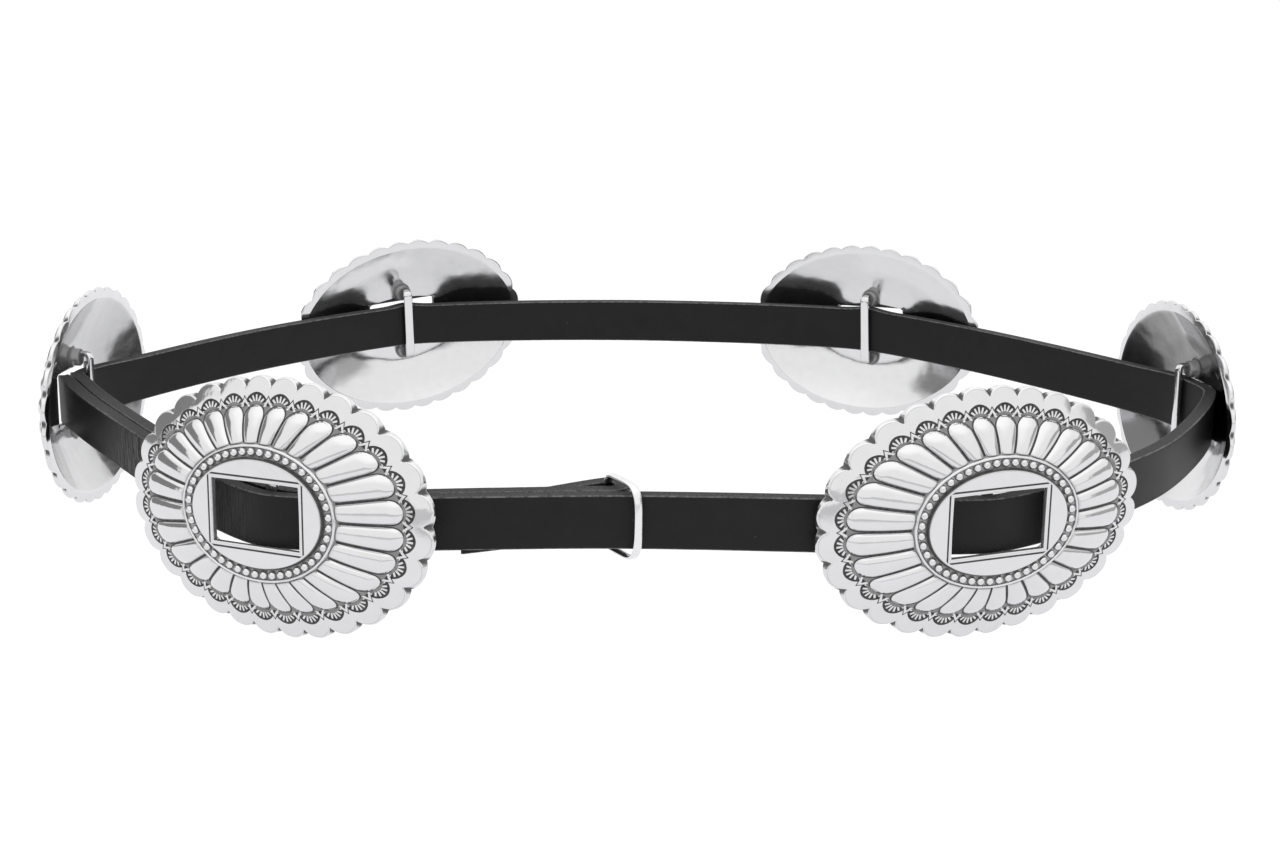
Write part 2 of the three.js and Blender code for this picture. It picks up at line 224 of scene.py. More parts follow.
class Nodes:
    """Short way to build a node tree: maths on sockets and numbers."""

    def __init__(self, tree):
        self.tree = tree

    def add(self, kind, **values):
        node = self.tree.nodes.new(kind)
        for key, value in values.items():
            setattr(node, key, value)
        return node

    def put(self, socket, value):
        if isinstance(value, bpy.types.NodeSocket):
            self.tree.links.new(value, socket)
        else:
            socket.default_value = value

    def math(self, operation, a, b=0.0):
        node = self.add("ShaderNodeMath", operation=operation)
        self.put(node.inputs[0], a)
        self.put(node.inputs[1], b)
        return node.outputs[0]

    def plus(self, a, b):
        return self.math("ADD", a, b)

    def minus(self, a, b):
        return self.math("SUBTRACT", a, b)

    def times(self, a, b):
        return self.math("MULTIPLY", a, b)

    def both(self, *masks):
        """Smallest of the masks."""
        result = masks[0]
        for mask in masks[1:]:
            result = self.math("MINIMUM", result, mask)
        return result

    def either(self, *masks):
        """Largest of the masks."""
        result = masks[0]
        for mask in masks[1:]:
            result = self.math("MAXIMUM", result, mask)
        return result

    def without(self, mask):
        return self.minus(1.0, mask)

    def step(self, value, low, high):
        """From 0 at low to 1 at high; with low above high it falls instead."""
        node = self.add("ShaderNodeMapRange", interpolation_type="SMOOTHSTEP")
        self.put(node.inputs[0], value)
        node.inputs[1].default_value = min(low, high)
        node.inputs[2].default_value = max(low, high)
        node.inputs[3].default_value = 0.0 if low < high else 1.0
        node.inputs[4].default_value = 1.0 if low < high else 0.0
        return node.outputs[0]

    def between(self, value, low, high, soft):
        up = self.step(value, low - soft, low + soft)
        return self.both(up, self.step(value, high + soft, high - soft))

    def mix(self, factor, a, b):
        node = self.add("ShaderNodeMix", data_type="FLOAT")
        self.put(node.inputs[0], factor)
        self.put(node.inputs[2], a)
        self.put(node.inputs[3], b)
        return node.outputs[0]

    def mix_color(self, factor, a, b):
        node = self.add("ShaderNodeMix", data_type="RGBA")
        self.put(node.inputs[0], factor)
        self.put(node.inputs[6], a)
        self.put(node.inputs[7], b)
        return node.outputs[2]

    def attribute(self, name):
        node = self.add("ShaderNodeAttribute", attribute_name=name)
        return node.outputs["Vector"], node.outputs["Fac"]

    def split(self, vector):
        node = self.add("ShaderNodeSeparateXYZ")
        self.put(node.inputs[0], vector)
        return node.outputs

    def join(self, x, y, z):
        node = self.add("ShaderNodeCombineXYZ")
        for socket, value in zip(node.inputs, (x, y, z)):
            self.put(socket, value)
        return node.outputs[0]

    def noise(self, vector, scale, detail=4.0, roughness=0.5, distortion=0.0):
        node = self.add("ShaderNodeTexNoise")
        self.put(node.inputs["Vector"], vector)
        node.inputs["Scale"].default_value = scale
        node.inputs["Detail"].default_value = detail
        node.inputs["Roughness"].default_value = roughness
        node.inputs["Distortion"].default_value = distortion
        return node.outputs[0]

    def bump(self, height, strength, distance, normal=None):
        node = self.add("ShaderNodeBump")
        node.inputs["Strength"].default_value = strength
        node.inputs["Distance"].default_value = distance
        self.put(node.inputs["Height"], height)
        if normal is not None:
            self.put(node.inputs["Normal"], normal)
        return node.outputs[0]


def grey(value):
    return (value, value, value * 1.01, 1.0)


def new_material(name):
    material = bpy.data.materials.new(name)
    material.use_nodes = True
    material.node_tree.nodes.clear()
    nodes = Nodes(material.node_tree)
    shader = nodes.add("ShaderNodeBsdfPrincipled")
    output = nodes.add("ShaderNodeOutputMaterial")
    material.node_tree.links.new(shader.outputs[0], output.inputs[0])
    return material, nodes, shader


def silver_material():
    """Polished silver with oxidised recesses, painted shade and painted dark reflections; the stamping
    round the rim is drawn here.
    """
    material, n, shader = new_material("silver")
    t, q, notch = n.split(n.attribute("rim")[0])
    petal = n.attribute("petal")[1]
    u, v, zone = n.split(n.attribute("flat")[0])
    shade = n.attribute("shade")[1]
    place = n.attribute("place")[0]
    off_petal = n.step(petal, 0.05, -0.05)

    # Stamped fan on each lobe: five long ticks and two short ones inside a dark arc.
    deep = n.minus(FAN_CENTRE, q)
    radius = n.math("SQRT", n.plus(n.times(t, t), n.times(deep, deep)))
    turn = n.times(n.math("ARCTAN2", t, deep), 1.0 / math.radians(FAN_TURN))
    fraction = n.math("ABSOLUTE", n.minus(n.math("FRACT", n.plus(turn, 0.5)), 0.5))
    spread = n.times(turn, 1 / 3.0)
    cubed = n.math("ABSOLUTE", n.times(spread, n.times(spread, spread)))
    inner = n.plus(TICK_START, n.times(cubed, 1.05))
    aside = n.times(n.times(fraction, math.radians(FAN_TURN)), radius)
    tick = n.both(
        n.step(aside, TICK_HALF + 0.09, TICK_HALF),
        n.step(n.minus(radius, inner), -0.05, 0.07),
        n.step(radius, TICK_END + 0.12, TICK_END),
        n.step(turn, 3.45, 3.3),
    )
    round_edge = n.step(radius, FAN_RADIUS + 0.08, FAN_RADIUS)
    fan = n.both(round_edge, n.step(turn, 3.7, 3.5), n.step(q, 7.3, 7.1))
    # White chevron on black between two fans.
    slope = n.minus(q, n.times(notch, CHEVRON_SLOPE))
    white = n.both(
        n.between(slope, *CHEVRON, 0.07),
        n.step(q, 6.9, 6.78),
        n.step(notch, 1.24, 1.14),
    )
    black = n.both(
        n.step(n.minus(q, n.times(notch, CHEVRON_SLOPE + 0.1)), 4.2, 4.34),
        n.step(notch, 1.5, 1.4),
        n.step(q, 7.3, 7.1),
    )
    stamped = n.both(n.either(fan, black), off_petal)
    # Grooves between the petals, and the matte corners where they open out.
    inside_rim = n.both(n.step(q, 5.7, 6.1), n.step(q, 60.0, 50.0))
    groove = n.both(n.step(petal, 0.05, -0.08), inside_rim)
    dark = n.both(n.either(stamped, groove), n.without(n.either(tick, white)))
    corner = n.both(n.step(petal, -0.26, -0.38), n.step(q, 6.6, 6.85), n.step(q, 60.0, 50.0))
    under = n.both(n.step(n.minus(radius, inner), 0.0, -0.1), n.step(petal, -0.16, -0.28))
    matte = n.either(corner, n.both(under, fan))
    # Engraved frame round the window.
    du = n.minus(n.math("ABSOLUTE", u), WINDOW_U)
    dv = n.minus(n.math("ABSOLUTE", v), WINDOW_V)
    edge = n.either(du, dv)
    on_top = n.step(zone, 0.5, 0.9)
    line = n.both(n.between(edge, *FRAME_LINE, 0.06), on_top)
    hair = n.both(n.between(edge, *FRAME_HAIR, 0.05), on_top)
    # Painted shade and painted reflection: a dark ring round the collars in the bowl behind.
    back = n.step(zone, -0.5, -0.9)
    past = n.minus(n.math("ABSOLUTE", v), COLLAR_OFFSET)
    from_collar = n.math("SQRT", n.plus(n.times(u, u), n.times(past, past)))
    painted_collar_shade = n.both(n.step(from_collar, COLLAR_RADIUS + 1.0, COLLAR_RADIUS + 0.2), back)
    # All the dark parts together, blotchy and at most fully dark.
    dark = n.either(dark, line, shade, n.times(painted_collar_shade, 0.8))
    grime = n.noise(place, 0.9, 5.0, 0.6)
    dark = n.both(n.times(dark, n.mix(grime, 0.84, 1.06)), 1.0)

    # This dark colour serves the patina and also the painted shade and painted reflections in the dark
    # mask.
    soot = n.mix_color(grime, grey(SILVER["matte"]), grey(SILVER["pale"]))
    soot = n.mix_color(matte, grey(SILVER["soot"]), soot)
    tone = n.noise(place, 0.35, 3.0, 0.5)
    bright = n.mix_color(tone, grey(SILVER["dull"]), grey(SILVER["bright"]))
    # Painted dark reflection in the bowl behind, which darkens its polished grey.
    painted_reflection = n.times(n.attribute("painted_reflection")[1], n.mix(n.noise(place, 0.13, 4.0, 0.6), 0.72, 1.12))
    bright = n.mix_color(painted_reflection, bright, grey(SILVER["painted_reflection"]))
    bright = n.mix_color(n.times(hair, 0.35), bright, grey(SILVER["hair"]))
    n.put(shader.inputs["Base Color"], n.mix_color(dark, bright, soot))
    n.put(shader.inputs["Metallic"], n.mix(dark, 1.0, 0.0))
    shader.inputs["Specular IOR Level"].default_value = 0.15
    # The bowl behind is wiped softly, the front is a little brighter.
    smear = n.noise(n.join(n.times(u, 0.25), v, 0.0), 0.9, 4.0, 0.6)
    polish = n.mix(back, n.mix(smear, 0.06, 0.13), n.mix(smear, 0.08, 0.19))
    n.put(shader.inputs["Roughness"], n.mix(dark, polish, 0.6))
    # Relief of the stamping, then fine marks of wear and the waves left by hand work.
    first = n.bump(n.without(dark), 0.35, 0.00016)
    wear = n.noise(place, 7.0, 3.0, 0.6)
    broad = n.noise(place, 0.32, 2.0, 0.5)
    slow = n.noise(place, 0.11, 1.0, 0.4)
    marks = n.plus(n.times(wear, n.mix(back, 0.03, 0.004)), n.times(broad, n.mix(back, 0.8, 0.2)))
    marks = n.plus(marks, n.times(slow, n.mix(back, 0.0, 3.0)))
    n.put(shader.inputs["Normal"], n.bump(marks, 0.12, 0.0006, first))
    return material


def ring_material():
    material, n, shader = new_material("ring_silver")
    place = n.attribute("place")[0]
    shade = n.attribute("shade")[1]
    tone = n.noise(place, 0.8, 4.0, 0.6)
    bright = n.mix_color(tone, grey(RING_SILVER["dull"]), grey(RING_SILVER["bright"]))
    n.put(shader.inputs["Base Color"], n.mix_color(shade, bright, grey(RING_SILVER["shade"])))
    shader.inputs["Metallic"].default_value = 1.0
    n.put(shader.inputs["Roughness"], n.mix(tone, 0.08, 0.18))
    scratch = n.noise(place, 5.0, 3.0, 0.6)
    n.put(shader.inputs["Normal"], n.bump(scratch, 0.10, 0.0002))
    return material


def leather_material():
    """Black leather: smooth grained faces, raw fibrous edges, creases where it bends."""
    material, n, shader = new_material("leather")
    along, across, edge = n.split(n.attribute("lay")[0])
    crease = n.attribute("crease")[1]
    place = n.attribute("place")[0]
    raw = n.step(edge, 0.45, 0.6)
    face = n.without(raw)
    grain_place = n.join(along, across, n.times(edge, 3.0))
    grain = n.noise(grain_place, 2.6, 5.0, 0.62)
    pores = n.noise(grain_place, 7.0, 2.0, 0.5)
    wrinkle = n.noise(n.join(n.times(along, 1.9), n.times(across, 0.10), 0.0), 1.0, 3.0, 0.55)
    cut = n.times(n.step(wrinkle, 0.50, 0.40), crease)
    fibre_place = n.join(n.times(along, 0.9), n.times(across, 3.4), n.times(edge, 5.0))
    fibre = n.noise(fibre_place, 2.2, 6.0, 0.7)
    mottle = n.noise(place, 0.16, 4.0, 0.55)
    lint = n.step(n.noise(place, 0.55, 1.0, 0.4), 0.80, 0.84)
    tones = {key: grey(value) for key, value in LEATHER.items()}
    skin = n.mix_color(mottle, tones["skin"], tones["worn"])
    skin = n.mix_color(n.times(crease, n.mix(wrinkle, 0.1, 1.0)), skin, tones["crease"])
    skin = n.mix_color(n.times(cut, 0.9), skin, tones["cut"])
    skin = n.mix_color(n.times(lint, 0.5), skin, tones["lint"])
    core = n.mix_color(n.step(fibre, 0.36, 0.66), tones["core"], tones["fibre"])
    color = n.mix_color(raw, skin, core)
    rubbed = n.between(edge, 0.36, 0.60, 0.06)
    rub = n.step(n.noise(place, 0.8, 4.0, 0.6), 0.30, 0.62)
    color = n.mix_color(n.times(rubbed, n.mix(rub, 0.25, 1.0)), color, tones["rubbed"])
    n.put(shader.inputs["Base Color"], color)
    n.put(shader.inputs["Roughness"], n.mix(face, 0.85, n.mix(grain, 0.40, 0.54)))
    shader.inputs["Specular IOR Level"].default_value = 0.21
    height = n.plus(n.times(grain, 0.55), n.times(pores, 0.25))
    height = n.minus(height, n.times(cut, 1.6))
    height = n.plus(n.times(height, face), n.times(n.times(fibre, 2.2), raw))
    folds = n.bump(n.times(cut, -1.0), 0.9, 0.0005)
    n.put(shader.inputs["Normal"], n.bump(height, 0.5, 0.00025, folds))
    return material


def set_attribute(mesh, name, values):
    values = np.asarray(values, dtype=np.float32)
    kind = "FLOAT" if values.ndim == 1 else "FLOAT_VECTOR"
    attribute = mesh.attributes.new(name, kind, "POINT")
    key = "value" if kind == "FLOAT" else "vector"
    attribute.data.foreach_set(key, values.ravel())


def make_mesh(name, points, faces, material, attributes):
    """Mesh from points in mm, smooth shaded, with named values for its material."""
    mesh = bpy.data.meshes.new(name)
    mesh.from_pydata((np.asarray(points) * MM).tolist(), [], faces)
    mesh.update()
    for key, values in attributes.items():
        set_attribute(mesh, key, values)
    mesh.polygons.foreach_set("use_smooth", [True] * len(mesh.polygons))
    mesh.materials.append(material)
    return mesh


def add_object(name, mesh):
    piece = bpy.data.objects.new(name, mesh)
    bpy.context.scene.collection.objects.link(piece)
    return piece


def smooth01(x):
    x = np.clip(x, 0.0, 1.0)
    return x * x * (3 - 2 * x)


def lobe_angles():
    """Angles round the oval, and how far each is from the middle line of its lobe (0 to 0.5)."""
    angles, shares = [], []
    for k in range(LOBES):
        middle = 2 * math.pi * (k + 0.5) / LOBES
        for share in [-s for s in HALF_LOBE[:0:-1]] + HALF_LOBE[:-1]:
            angles.append(middle + share * 2 * math.pi / LOBES)
            shares.append(abs(share))
    return np.array(angles), np.array(shares)


PHI, SHARE = lobe_angles()
OVAL_ANGLE = PHI + ANGLE_SHIFT * np.sin(2 * PHI)


def oval(a, b):
    """One point for each angle sample on the oval, or ovals, with half axes a and b."""
    return np.stack([a * np.cos(OVAL_ANGLE), b * np.sin(OVAL_ANGLE)], axis=-1)


def inset_oval(q):
    return oval(HALF_LENGTH - q, HALF_HEIGHT - q)


def pitch_at(a, b):
    """Width of each sample's lobe slice on the oval with half axes a and b."""
    turns = PHI * LOBES / (2 * math.pi)
    k = np.where(SHARE >= 0.5 - 1e-9, np.round(turns) - 1, np.floor(turns + 1e-9))
    ends = []
    for step in (0, 1):
        phi = 2 * math.pi * (k + step) / LOBES
        angle = phi + ANGLE_SHIFT * np.sin(2 * phi)
        ends.append(np.stack([a * np.cos(angle), b * np.sin(angle)], axis=-1))
    return np.linalg.norm(ends[1] - ends[0], axis=1)


def rim_height(q):
    return np.interp(q, RIM_Q, RIM_W)


def dome_height(a):
    x = (PETAL_OUTER[0] - a) / (PETAL_OUTER[0] - PETAL_INNER[0])
    return PETAL_FOOT + 4.15 * x + 2.0 * x * (1 - x)


def notch_inset(depth, least):
    """Inset of an outline at each angle: round lobes that meet in a notch of this depth."""
    half = 0.5 * pitch_at(HALF_LENGTH, HALF_HEIGHT)
    reach = depth - least
    t = SHARE * 2 * half
    radius = (half ** 2 + reach ** 2) / (2 * reach)
    return least + radius - np.sqrt(radius ** 2 - t ** 2)


def skin(count, size, closed):
    """Faces over equal rings of points: the last ring meets the first, or both ends are capped."""
    faces = []
    for k in range(count if closed else count - 1):
        here, there = k * size, ((k + 1) % count) * size
        for i in range(size):
            j = (i + 1) % size
            faces.append((here + i, here + j, there + j, there + i))
    if not closed:
        faces.append(tuple(reversed(range(size))))
        faces.append(tuple((count - 1) * size + i for i in range(size)))
    return faces


class Shell:
    """Rings of points one after another, with the values that the silver reads at each point."""

    def __init__(self):
        self.points, self.rim, self.petal, self.flat, self.shade = [], [], [], [], []

    def ring(self, xy, w, t=0.0, q=100.0, notch=50.0, petal=5.0, zone=0.0, shade=0.0):
        def full(value):
            return np.broadcast_to(np.asarray(value, dtype=float), (len(xy),))
        self.points.append(np.column_stack([xy, full(w)]))
        self.rim.append(np.column_stack([full(t), full(q), full(notch)]))
        self.petal.append(full(petal))
        self.flat.append(np.column_stack([xy, full(zone)]))
        self.shade.append(full(shade))


def rounded_end(t, depth, half, corner):
    """Distance inside a bar that starts at depth 0 with round corners."""
    corner = np.minimum(corner, half)
    x = t - (half - corner)
    y = corner - depth
    bent = corner - np.hypot(np.maximum(x, 0), np.maximum(y, 0))
    return np.where((x > 0) & (y > 0), bent, np.minimum(half - t, depth))


def window_ring():
    """Points of the window's edge, one for each angle sample."""
    direction = oval(*CENTRE_EDGE)
    reach = np.maximum(np.abs(direction[:, 0]) / WINDOW_U, np.abs(direction[:, 1]) / WINDOW_V)
    ring = direction / reach[:, None]
    for su in (-1, 1):
        for sv in (-1, 1):
            corner = np.array([su * WINDOW_U, sv * WINDOW_V])
            ring[np.argmin(np.linalg.norm(ring - corner, axis=1))] = corner
    return ring


def add_lobes(shell):
    """The lobes, from their front edge to the place of the fans."""
    inset = notch_inset(NOTCH_DEPTH, 0.0)
    pitch = pitch_at(HALF_LENGTH - 3, HALF_HEIGHT - 3)
    t = SHARE * pitch
    walls = smooth01((SHARE - 0.34) / 0.10)
    for f in (0.0, 0.022, 0.05, 0.085, 0.105, 0.125, 0.16, 0.2, 0.3, 0.42, 0.6, 0.8, 1.0):
        q = inset + f * (LOBE_END - inset)
        roll = 0.34 * np.clip(1 - f * (LOBE_END - inset) / 0.42, 0, 1) ** 2
        side = 0.28 * (SHARE / 0.5) ** 3 * np.clip(1 - q / LOBE_END, 0, 1)
        # The ring at f 0.105 carries a painted dark reflection, a thin line along each lobe inside its
        # rolled edge; the front edge ring carries patina on the notch walls.
        shade = {0.0: 0.55 * walls, 0.105: 0.5}.get(f, 0.0)
        shell.ring(inset_oval(q), rim_height(q) - roll - side, t, q, 0.5 * pitch - t, -3.0,
                   shade=shade)
    for q0 in (4.3, 4.6, 4.9, 5.2, 5.5, 5.8, 6.05, 6.28):
        pitch = pitch_at(HALF_LENGTH - q0, HALF_HEIGHT - q0)
        t = SHARE * pitch
        shell.ring(inset_oval(q0), rim_height(q0), t, q0, 0.5 * pitch - t, -3.0)


def add_petals(shell):
    """The petals: puffed bars with round outer ends that run in to the lip."""
    shares = list(np.linspace(0, 0.27, 15)) + list(np.linspace(0.27, 0.96, 15)[1:]) + [0.985, 1.0]
    for x in shares:
        a = PETAL_OUTER[0] + (PETAL_INNER[0] - PETAL_OUTER[0]) * x
        b = PETAL_OUTER[1] + (PETAL_INNER[1] - PETAL_OUTER[1]) * x
        pitch = pitch_at(a, b)
        t = SHARE * pitch
        depth = np.hypot((PETAL_OUTER[0] - a) * np.cos(OVAL_ANGLE),
                         (PETAL_OUTER[1] - b) * np.sin(OVAL_ANGLE))
        gap = GROOVE_HALF + 0.24 * smooth01((0.34 - x) / 0.34)
        half = 0.5 * pitch - gap
        inside = rounded_end(t, depth, half, PETAL_CORNER)
        bulge = 1 - (1 - np.clip(inside / half, 0, 1)) ** 2.3
        foot = smooth01(inside / 0.3)
        rise = 1.0 - 0.3 * x
        height = dome_height(a) - 0.25 + rise * (0.34 * foot + 0.92 * bulge)
        # Painted shade where the petals run in to the foot of the lip, stronger towards the grooves.
        lip_foot_shade = 0.55 * smooth01((x - 0.95) / 0.05) * (0.45 + 0.55 * smooth01((SHARE - 0.3) / 0.15))
        shell.ring(oval(a, b), height, t, 6.5 + depth, 0.5 * pitch - t, inside, shade=lip_foot_shade)


def add_centre(shell):
    """Lip, bead channel, flat centre and the walls of the window."""
    for a, b, w, shade in LIP_ROWS:
        shell.ring(oval(a, b), w, shade=shade)
    edge = oval(*CENTRE_EDGE)
    hole = window_ring()
    for f in (0.12, 0.3, 0.5, 0.7, 0.86, 0.965):
        shell.ring(edge + (hole - edge) * f, PLATEAU_TOP, zone=1.0)
    for w, shade in ((7.63, 0.1), (7.4, 0.75), (7.0, 0.85), (PLATEAU_BACK + 0.1, 0.8)):
        shell.ring(hole, w, shade=shade)
    return hole


def add_back(shell, hole):
    """The smooth bowl behind, its flat rim and the slanting walls of the notches."""
    inner = oval(*BOWL_FLOOR)
    for f in (0.03, 0.5):
        shell.ring(hole + (inner - hole) * f, PLATEAU_BACK, zone=-1.0)
    for b, w in reversed(BOWL_ROWS):
        share = (BOWL_EDGE[1] - b) / (BOWL_EDGE[1] - BOWL_FLOOR[1])
        a = BOWL_EDGE[0] + share * (BOWL_FLOOR[0] - BOWL_EDGE[0])
        shell.ring(oval(a, b), w, zone=-1.0)
    outline = notch_inset(BACK_NOTCH_DEPTH, 0.08)
    for f in (0.5, 0.2, 0.06, 0.0):
        q = outline + f * (2.8 - outline)
        shell.ring(inset_oval(q), -METAL + 0.12 * max(0.0, 1 - f / 0.06), zone=-1.0)
    front = notch_inset(NOTCH_DEPTH, 0.0)
    top = rim_height(front) - 0.34 - 0.28 * (SHARE / 0.5) ** 3 * np.clip(1 - front / 4, 0, 1)
    walls = smooth01((SHARE - 0.34) / 0.10)
    for f in (0.08, 0.3, 0.6, 0.85, 0.97):
        q = outline + f * (front - outline)
        w = -METAL + 0.12 + f * (top + METAL - 0.12)
        shell.ring(inset_oval(q), w, zone=0.0, shade=0.9 * walls)


def stack(rings):
    """Closed body from equal rings of points, first to last."""
    points = [p for ring in rings for p in ring]
    return points, skin(len(rings), len(rings[0]), closed=False)


def circle(x, y, r, w, count):
    turns = [2 * math.pi * i / count for i in range(count)]
    return [(x + r * math.cos(turn), y + r * math.sin(turn), w) for turn in turns]


def bead(x, y, w):
    """A round bead that sits in the channel."""
    rings = []
    for turn in (-0.35, 0.0, 0.35, 0.65, 0.92, 1.15, 1.36, 1.5):
        r = BEAD_RADIUS * math.cos(max(turn, 0.0))
        rings.append(circle(x, y, r, w + 0.95 * BEAD_RADIUS * math.sin(turn), 16))
    return stack(rings)


def bead_places():
    """Evenly spaced places on the oval of the bead ring."""
    turn = np.linspace(0, 2 * math.pi, 2001)
    path = np.stack([BEAD_OVAL[0] * np.cos(turn), BEAD_OVAL[1] * np.sin(turn)], axis=-1)
    run = np.concatenate([[0], np.cumsum(np.linalg.norm(np.diff(path, axis=0), axis=1))])
    wanted = run[-1] * (np.arange(BEADS) + 0.5) / BEADS
    return np.stack([np.interp(wanted, run, path[:, k]) for k in (0, 1)], axis=-1)


def collar(side):
    """Round collar soldered into the bowl, which takes one leg of the bar."""
    # Radius and height of each ring.
    rows = [(0.6, 3.75), (COLLAR_RADIUS - 0.5, 3.75), (COLLAR_RADIUS - 0.2, 3.85),
            (COLLAR_RADIUS, 4.15), (COLLAR_RADIUS, 5.6), (COLLAR_RADIUS + 0.1, 6.0),
            (COLLAR_RADIUS + 0.3, 6.25), (COLLAR_RADIUS + 0.6, 6.42), (COLLAR_RADIUS + 0.6, 6.9)]
    return stack([circle(0.0, side * COLLAR_OFFSET, r, w, 32) for r, w in rows])


def staple():
    """Flat bar whose ends bend round into its two legs."""
    bend = 1.5
    middle_v = BAR_HALF_LENGTH - 0.5 * BAR_THICKNESS
    low = BAR_FACE - 0.5 * BAR_THICKNESS
    path = [(middle_v, w, 0.0) for w in (5.2, 4.4, 3.6, 2.9)]
    for k in range(1, 9):
        turn = 0.5 * math.pi * k / 8
        path.append((middle_v - bend + bend * math.cos(turn), low + bend - bend * math.sin(turn), turn))
    half = path + [(v, low, 0.5 * math.pi) for v in (8.0, 6.0, 4.0, 2.0, 0.0)]
    path = half + [(-v, w, math.pi - turn) for v, w, turn in reversed(half[:-1])]
    rings = []
    for v, w, turn in path:
        out_v, out_w = math.cos(turn), -math.sin(turn)
        ring = []
        for i in range(20):
            angle = 2 * math.pi * i / 20
            c, s = math.cos(angle), math.sin(angle)
            x = 0.5 * BAR_WIDTH * math.copysign(abs(c) ** 0.45, c)
            x *= 0.6 + 0.4 * abs(math.sin(turn)) ** 0.7
            y = 0.5 * BAR_THICKNESS * math.copysign(abs(s) ** 0.55, s)
            ring.append((x, v + out_v * y, w + out_w * y))
        rings.append(ring[::-1])
    return stack(rings)


def concho_mesh(material):
    shell = Shell()
    add_lobes(shell)
    add_petals(shell)
    hole = add_centre(shell)
    add_back(shell, hole)
    points = np.concatenate(shell.points)
    faces = skin(len(shell.points), len(PHI), closed=True)
    values = dict(rim=np.concatenate(shell.rim), petal=np.concatenate(shell.petal),
                  flat=np.concatenate(shell.flat), shade=np.concatenate(shell.shade))
    plain = dict(rim=(0.0, 100.0, 50.0), petal=5.0, flat=(0.0, 0.0, 0.0))
    pieces = [(bead(x, y, BEAD_SEAT), "bead") for x, y in bead_places()]
    pieces += [(collar(side), "collar") for side in (1, -1)]
    pieces += [(staple(), "staple")]
    start = len(points)
    more_points, more_shade = [], []
    for (piece_points, piece_faces), kind in pieces:
        faces.extend([tuple(start + i for i in face) for face in piece_faces])
        start += len(piece_points)
        more_points.extend(piece_points)
        per_ring, rings = PIECE_SHADES[kind]
        for i in range(len(piece_points)):
            more_shade.append(rings[min(i // per_ring, len(rings) - 1)])
    count = len(more_points)
    points = np.concatenate([points, more_points])
    for key, value in plain.items():
        values[key] = np.concatenate([values[key], np.broadcast_to(value, (count, *np.shape(value)))])
    values["shade"] = np.concatenate([values["shade"], more_shade])
    values["place"] = points
    return make_mesh("concho", points, faces, material, values)


def painted_reflections(points, zone, spec):
    """Painted dark reflection in the bowl behind: above its level line, with a bright sweep by the near
    edge.
    """
    u, v = points[:, 0], points[:, 1]
    radius = np.hypot(u / BOWL_EDGE[0], v / BOWL_EDGE[1])
    upper = smooth01((v + 4) / 7)
    sweep = smooth01((radius - 0.68) / 0.10) * smooth01((6 - u * spec["near"]) / 8)
    painted_reflection = spec["all"] + spec["upper"] * upper * (1 - sweep)
    return painted_reflection * (zone < -0.5) * smooth01((1.0 - radius) / 0.03)


def directions(yaw, tilt=0.0, roll=0.0):
    """Along, up across the height, and outward for a concho or a length of strap."""
    y, s, r = math.radians(yaw), math.radians(tilt), math.radians(roll)
    along = Vector((math.cos(y), math.sin(y), 0))
    level = Vector((math.sin(y), -math.cos(y), 0))
    up = Vector((0, 0, 1))
    out = level * math.cos(s) + up * math.sin(s)
    across = up * math.cos(s) - level * math.sin(s)
    u = along * math.cos(r) + across * math.sin(r)
    v = across * math.cos(r) - along * math.sin(r)
    return dict(along=along, level=level, out=out, across=across, u=u, v=v)


def stand(place, points):
    """Matrix in mm that stands a concho on the floor."""
    d = directions(place["yaw"], place["tilt"], place["roll"])
    heights = points @ np.array([d["u"].z, d["v"].z, d["out"].z])
    matrix = Matrix((d["u"], d["v"], d["out"])).transposed().to_4x4()
    matrix.translation = Vector((place["x"], place["y"], -float(heights.min())))
    return matrix


def strap_height(x, y):
    return STRAP_HEIGHT + WIDER_RIGHT * x + WIDER_BACK * y


def near(a, b):
    """Course b brought to within half a turn of course a."""
    return b + 360 * round((a - b) / 360)


def station(p, course, lean=0.0, k=0.0):
    """A place of the strap's middle line; k counts along it."""
    return dict(p=p, course=course, lean=lean, k=k)


def station_at(place, matrix, u, w):
    v = 0.5 * strap_height(place["x"], place["y"]) - STRAP_REST
    return station(matrix @ Vector((u, v, w)), place["yaw"], place["tilt"])


def halfway(a, b, bow):
    chord = b["p"] - a["p"]
    course = near(a["course"], math.degrees(math.atan2(chord.y, chord.x)))
    p = (a["p"] + b["p"]) * 0.5 + directions(course)["level"] * bow
    p.z = STRAP_LEVEL
    return station(p, course)


def curve(a, b, leave, reach, steps=STEPS):
    """Cubic course from one station to the next; the first station itself is left out."""
    p1 = a["p"] + directions(a["course"])["along"] * leave
    p2 = b["p"] - directions(b["course"])["along"] * reach
    stations = []
    for i in range(1, steps + 1):
        t = i / steps
        s = 1 - t
        p = a["p"] * s ** 3 + p1 * (3 * s * s * t) + p2 * (3 * s * t * t) + b["p"] * t ** 3
        d = (p1 - a["p"]) * (s * s) + (p2 - p1) * (2 * s * t) + (b["p"] - p2) * (t * t)
        course = near(a["course"], math.degrees(math.atan2(d.y, d.x)))
        lean = a["lean"] + (b["lean"] - a["lean"]) * float(smooth01(np.float64(t)))
        stations.append(station(p, course, lean, a["k"] + COARSE_STEPS * t))
    return stations


def inward(s, distance):
    out = directions(s["course"], s["lean"])["out"]
    return station(s["p"] - out * distance, s["course"], s["lean"], s["k"])


def ring_place(keeper, place):
    d = directions(keeper["course"])
    return keeper["p"] + d["along"] * place[0] + d["level"] * place[1]


